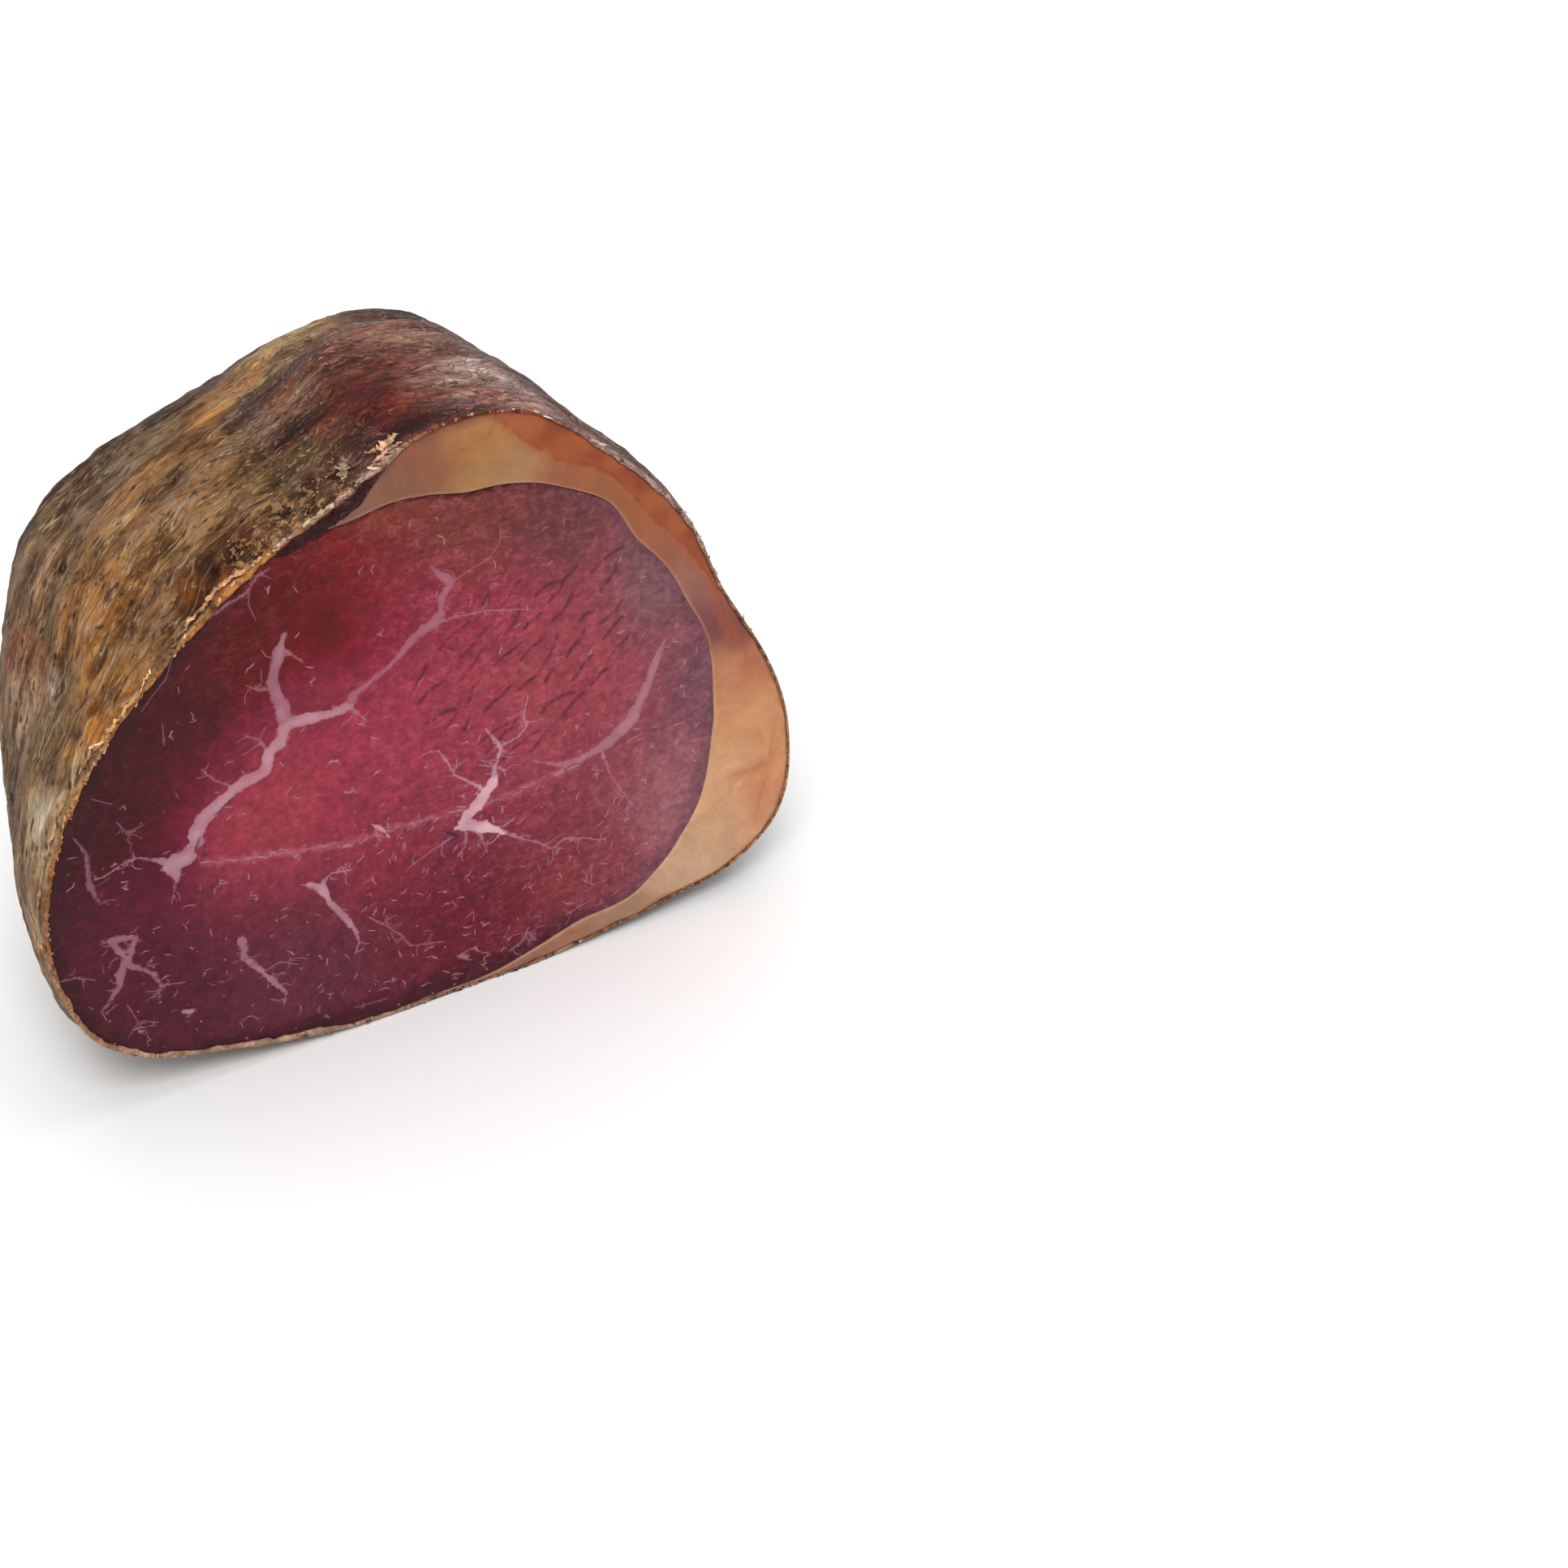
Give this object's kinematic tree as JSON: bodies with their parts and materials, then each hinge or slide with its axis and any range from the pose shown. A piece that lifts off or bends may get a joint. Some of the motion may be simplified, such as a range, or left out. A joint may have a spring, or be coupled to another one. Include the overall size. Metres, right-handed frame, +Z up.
{
  "type": "cecina half",
  "caption": "Half of a cured, smoked beef haunch cut clean across: a rounded block of dark red lean, a cap of fat over its top and right side, and a dry wrinkled rind.",
  "frame": {"origin": "on the surface that the piece lies on, under the middle of its bounding box", "axes": "+X along the width of the cut face, towards the thick side of the fat; +Y from the cut face into the piece; +Z up"},
  "size_m": [0.2063, 0.1241, 0.1676],
  "materials": {
    "cured_lean": "moist cut face of cured beef, deep red with pale marbling",
    "beef_fat": "waxy cream-yellow fat, amber towards the rind",
    "dried_rind": "dry wrinkled smoked outside, tan to mahogany"
  },
  "bodies": {
    "root": {"lean": "cured_lean", "fat_cap": "beef_fat"}
  },
  "joints": []
}
